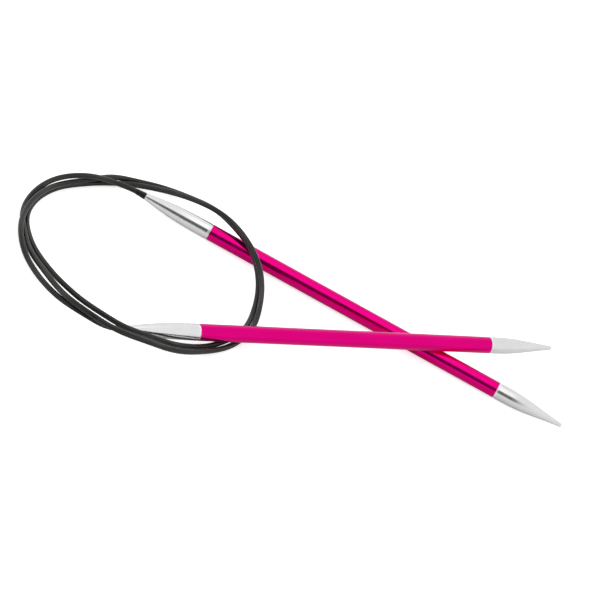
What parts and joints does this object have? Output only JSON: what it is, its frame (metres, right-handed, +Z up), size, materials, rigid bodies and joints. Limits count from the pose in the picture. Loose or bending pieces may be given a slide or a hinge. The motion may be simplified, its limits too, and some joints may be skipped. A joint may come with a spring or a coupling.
{
  "type": "circular knitting needle",
  "caption": "Circular knitting needle with metal shafts, bare rounded points, tapered swivelling cable sockets and a thin flexible cable stowed in a flat coil.",
  "frame": {"origin": "centre of the object's footprint on the table", "axes": "+X along needle A from its cable end to its point, +Z up from the table"},
  "size_m": [0.1716, 0.096, 0.011],
  "materials": {
    "anodised_tube": "gloss anodised",
    "bare_point": "satin polished",
    "bare_socket": "satin polished",
    "cable_jacket": "smooth satin extruded",
    "cable_core": "stranded steel",
    "strain_relief": "satin moulded",
    "washer": "bright",
    "ferrule": "crimped"
  },
  "bodies": {
    "cable_coil": {"coil_jacket": "cable_jacket", "coil_core": "cable_core"},
    "lead_a_coil_side": {"lead_jacket_a2": "cable_jacket", "lead_core_a2": "cable_core"},
    "lead_a_needle_side": {"lead_jacket_a1": "cable_jacket", "lead_core_a1": "cable_core"},
    "cable_end_a": {"end_jacket_a": "cable_jacket", "end_core_a": "cable_core", "strain_relief_a": "strain_relief", "crimp_ferrule_a": "ferrule"},
    "needle_a": {"front_point_a": "bare_point", "shaft_tube_a": "anodised_tube", "cable_socket_a": "bare_socket", "thrust_washer_a": "washer"},
    "lead_b": {"lead_jacket_b": "cable_jacket", "lead_core_b": "cable_core"},
    "cable_end_b": {"end_jacket_b": "cable_jacket", "end_core_b": "cable_core", "strain_relief_b": "strain_relief", "crimp_ferrule_b": "ferrule"},
    "needle_b": {"front_point_b": "bare_point", "shaft_tube_b": "anodised_tube", "cable_socket_b": "bare_socket", "thrust_washer_b": "washer"}
  },
  "joints": [
    {"name": "lead_a_sweep", "type": "hinge", "parent": "cable_coil", "child": "lead_a_coil_side", "pos_m": [-0.06812, 0.02081, 0.00324], "axis": [0, 0, 1], "range_deg": [0, 5], "stiffness_Nm_per_rad": 0.0001},
    {"name": "lead_a_droop", "type": "hinge", "parent": "lead_a_coil_side", "child": "lead_a_needle_side", "pos_m": [-0.06421, 0.02291, 0.0026], "axis": [0, 1, 0], "range_deg": [0, 17.5], "stiffness_Nm_per_rad": 0.0001},
    {"name": "lead_a_droop_end", "type": "hinge", "parent": "lead_a_needle_side", "child": "cable_end_a", "pos_m": [-0.0608, 0.02365, 0.0025], "axis": [0, 1, 0], "range_deg": [0, 17.5]},
    {"name": "needle_a_swivel", "type": "hinge", "parent": "cable_end_a", "child": "needle_a", "pos_m": [-0.0481, 0.02373, 0.00251], "axis": [1, 0, 0], "continuous": true},
    {"name": "lead_b_sweep", "type": "hinge", "parent": "cable_coil", "child": "lead_b", "pos_m": [-0.04939, -0.04446, 0.0036], "axis": [0, -0.0698, 0.9976], "range_deg": [-2, 12], "stiffness_Nm_per_rad": 0.0001},
    {"name": "lead_b_lift", "type": "hinge", "parent": "lead_b", "child": "cable_end_b", "pos_m": [-0.04305, -0.04229, 0.003], "axis": [0.6146, -0.7888, 0], "range_deg": [0, 4], "stiffness_Nm_per_rad": 0.0001},
    {"name": "needle_b_swivel", "type": "hinge", "parent": "cable_end_b", "child": "needle_b", "pos_m": [-0.03283, -0.03444, 0.0035], "axis": [0.7881, 0.614, 0.043], "continuous": true}
  ],
  "couplings": [
    {"joint": "lead_a_droop_end", "follows": "lead_a_droop", "ratio": 1}
  ]
}
